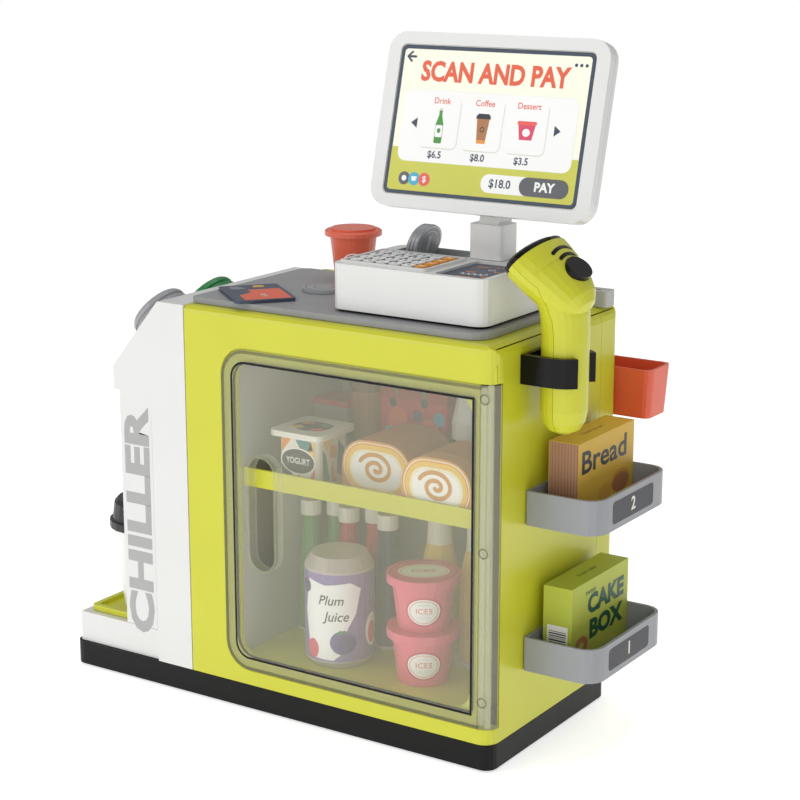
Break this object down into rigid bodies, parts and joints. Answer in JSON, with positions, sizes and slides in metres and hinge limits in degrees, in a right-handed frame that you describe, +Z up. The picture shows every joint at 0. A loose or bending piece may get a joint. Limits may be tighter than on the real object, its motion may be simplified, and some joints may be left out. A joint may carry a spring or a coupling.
{
  "type": "toy shop counter",
  "caption": "Toy self-service shop counter with a clear-doored chilled cabinet, drink bay, till with keypad and tilting display, hand scanner, side trays and play goods.",
  "frame": {"origin": "centre of the whole footprint, on the floor under the feet", "axes": "+Z up; -Y towards the front, where the door and the keypad face; +X towards the side trays and the scanner"},
  "size_m": [0.414, 0.1988, 0.4683],
  "materials": {
    "lime_plastic": "moulded, soft gloss",
    "white_plastic": "moulded, soft gloss",
    "grey_plastic": "fine satin texture",
    "pale_grey_plastic": "satin",
    "black_plastic": "soft gloss",
    "navy_plastic": "satin",
    "coral_plastic": "moulded, soft gloss",
    "brick_plastic": "moulded, soft gloss",
    "green_plastic": "moulded, soft gloss",
    "orange_rubber": "soft keys",
    "navy_rubber": "soft keypad",
    "silver_plastic": "silvery satin",
    "smoky_clear": "clear moulding, slightly smoky",
    "dark_clear": "dark clear window",
    "steel": "plain steel",
    "cream_card": "printed sheet",
    "yellow_card": "printed carton",
    "green_card": "printed carton",
    "sponge": "printed play cake",
    "violet_plastic": "printed can",
    "pink_plastic": "moulded tub"
  },
  "bodies": {
    "cabinet": {"base_plinth": "black_plastic", "cabinet_shell": "lime_plastic", "rear_cover": "lime_plastic", "cabinet_liner": "pale_grey_plastic", "cabinet_floor": "lime_plastic", "middle_shelf": "lime_plastic", "counter_top": "grey_plastic", "dispenser_housing": "white_plastic", "name_panel": "white_plastic", "bay_frame": "lime_plastic", "till_base": "black_plastic", "till_body": "white_plastic", "slate_pad": "navy_plastic", "coin_tray": "grey_plastic", "key_mat": "navy_rubber", "coin_1": "silver_plastic", "coin_2": "silver_plastic", "coin_3": "silver_plastic", "loose_token": "grey_plastic", "display_post": "white_plastic", "tilt_pin": "steel", "scanner_clip": "black_plastic", "side_tray_lower": "grey_plastic", "side_tray_upper": "grey_plastic", "food_box_upper": "yellow_card", "food_box_lower": "green_card", "card_reader": "pale_grey_plastic", "yogurt_tub": "cream_card", "swiss_roll_1": "sponge", "swiss_roll_2": "sponge", "drink_can": "violet_plastic", "dessert_tub_1": "pink_plastic", "dessert_tub_2": "pink_plastic", "bottle_row": "cream_card", "carton_row": "cream_card"},
    "door": {"door_panel": "smoky_clear", "door_gasket": "black_plastic", "hinge_bar": "smoky_clear"},
    "cap_grey": {"tank_cap_grey": "grey_plastic"},
    "cap_green": {"tank_cap_green": "green_plastic"},
    "lever_1": {"pour_lever_1": "black_plastic"},
    "lever_2": {"pour_lever_2": "black_plastic"},
    "drip_tray": {"drip_tray": "lime_plastic"},
    "paper_cup": {"paper_cup": "white_plastic"},
    "key_1": {"push_key_1": "orange_rubber"},
    "key_2": {"push_key_2": "orange_rubber"},
    "key_3": {"push_key_3": "orange_rubber"},
    "key_4": {"push_key_4": "orange_rubber"},
    "display": {"display_bezel": "white_plastic", "screen_sheet": "cream_card", "display_back": "white_plastic"},
    "scanner": {"scanner_outer_shell": "lime_plastic", "scanner_inner_shell": "lime_plastic", "scanner_nose": "black_plastic", "scanner_lens": "dark_clear"},
    "scan_button": {"scanner_button": "black_plastic"},
    "bin": {"rear_bin": "coral_plastic"},
    "card": {"pay_card": "navy_plastic"},
    "cup": {"play_cup": "brick_plastic"},
    "cup_lid": {"cup_lid": "brick_plastic"}
  },
  "joints": [
    {"name": "door_hinge", "type": "hinge", "parent": "cabinet", "child": "door", "pos_m": [0.1475, -0.0934, 0.1515], "axis": [0, 0, 1], "range_deg": [0, 110]},
    {"name": "cap_grey_turn", "type": "hinge", "parent": "cabinet", "child": "cap_grey", "pos_m": [-0.13228, -0.0736, 0.2677], "axis": [-0.7676, 0, 0.6409], "range_deg": [0, 90]},
    {"name": "cap_green_turn", "type": "hinge", "parent": "cabinet", "child": "cap_green", "pos_m": [-0.13228, -0.0186, 0.2677], "axis": [-0.7676, 0, 0.6409], "range_deg": [0, 90]},
    {"name": "lever_1_push", "type": "hinge", "parent": "cabinet", "child": "lever_1", "pos_m": [-0.1375, -0.0566, 0.208], "axis": [0, 1, 0], "range_deg": [-7, 0], "stiffness_Nm_per_rad": 0.02},
    {"name": "lever_2_push", "type": "hinge", "parent": "cabinet", "child": "lever_2", "pos_m": [-0.1375, -0.0016, 0.208], "axis": [0, 1, 0], "range_deg": [-7, 0], "stiffness_Nm_per_rad": 0.02},
    {"name": "drip_tray_pull", "type": "slide", "parent": "cabinet", "child": "drip_tray", "axis": [-1, 0, 0], "range_m": [0, 0.05]},
    {"name": "paper_cup_lift", "type": "slide", "parent": "drip_tray", "child": "paper_cup", "axis": [0, 0, 1], "range_m": [0, 0.04]},
    {"name": "key_1_press", "type": "slide", "parent": "cabinet", "child": "key_1", "axis": [0, 0, -1], "range_m": [0, 0.001], "stiffness_N_per_m": 600},
    {"name": "key_2_press", "type": "slide", "parent": "cabinet", "child": "key_2", "axis": [0, 0, -1], "range_m": [0, 0.001], "stiffness_N_per_m": 600},
    {"name": "key_3_press", "type": "slide", "parent": "cabinet", "child": "key_3", "axis": [0, 0, -1], "range_m": [0, 0.001], "stiffness_N_per_m": 600},
    {"name": "key_4_press", "type": "slide", "parent": "cabinet", "child": "key_4", "axis": [0, 0, -1], "range_m": [0, 0.001], "stiffness_N_per_m": 600},
    {"name": "display_tilt", "type": "hinge", "parent": "cabinet", "child": "display", "pos_m": [0.095, 0.0079, 0.3775], "axis": [1, 0, 0], "range_deg": [-5, 5]},
    {"name": "scanner_lift", "type": "slide", "parent": "cabinet", "child": "scanner", "axis": [0, 0, 1], "range_m": [0, 0.004]},
    {"name": "scan_button_press", "type": "slide", "parent": "scanner", "child": "scan_button", "axis": [-0.6613, 0, -0.7501], "range_m": [0, 0.0015], "stiffness_N_per_m": 500},
    {"name": "bin_lift", "type": "slide", "parent": "cabinet", "child": "bin", "axis": [0, 0, 1], "range_m": [0, 0.002]},
    {"name": "card_lift", "type": "slide", "parent": "cabinet", "child": "card", "axis": [0, 0, 1], "range_m": [0, 0.03]},
    {"name": "cup_lift", "type": "slide", "parent": "cabinet", "child": "cup", "axis": [0, 0, 1], "range_m": [0, 0.04]},
    {"name": "lid_lift", "type": "slide", "parent": "cup", "child": "cup_lid", "axis": [0, 0, 1], "range_m": [0, 0.025]}
  ]
}
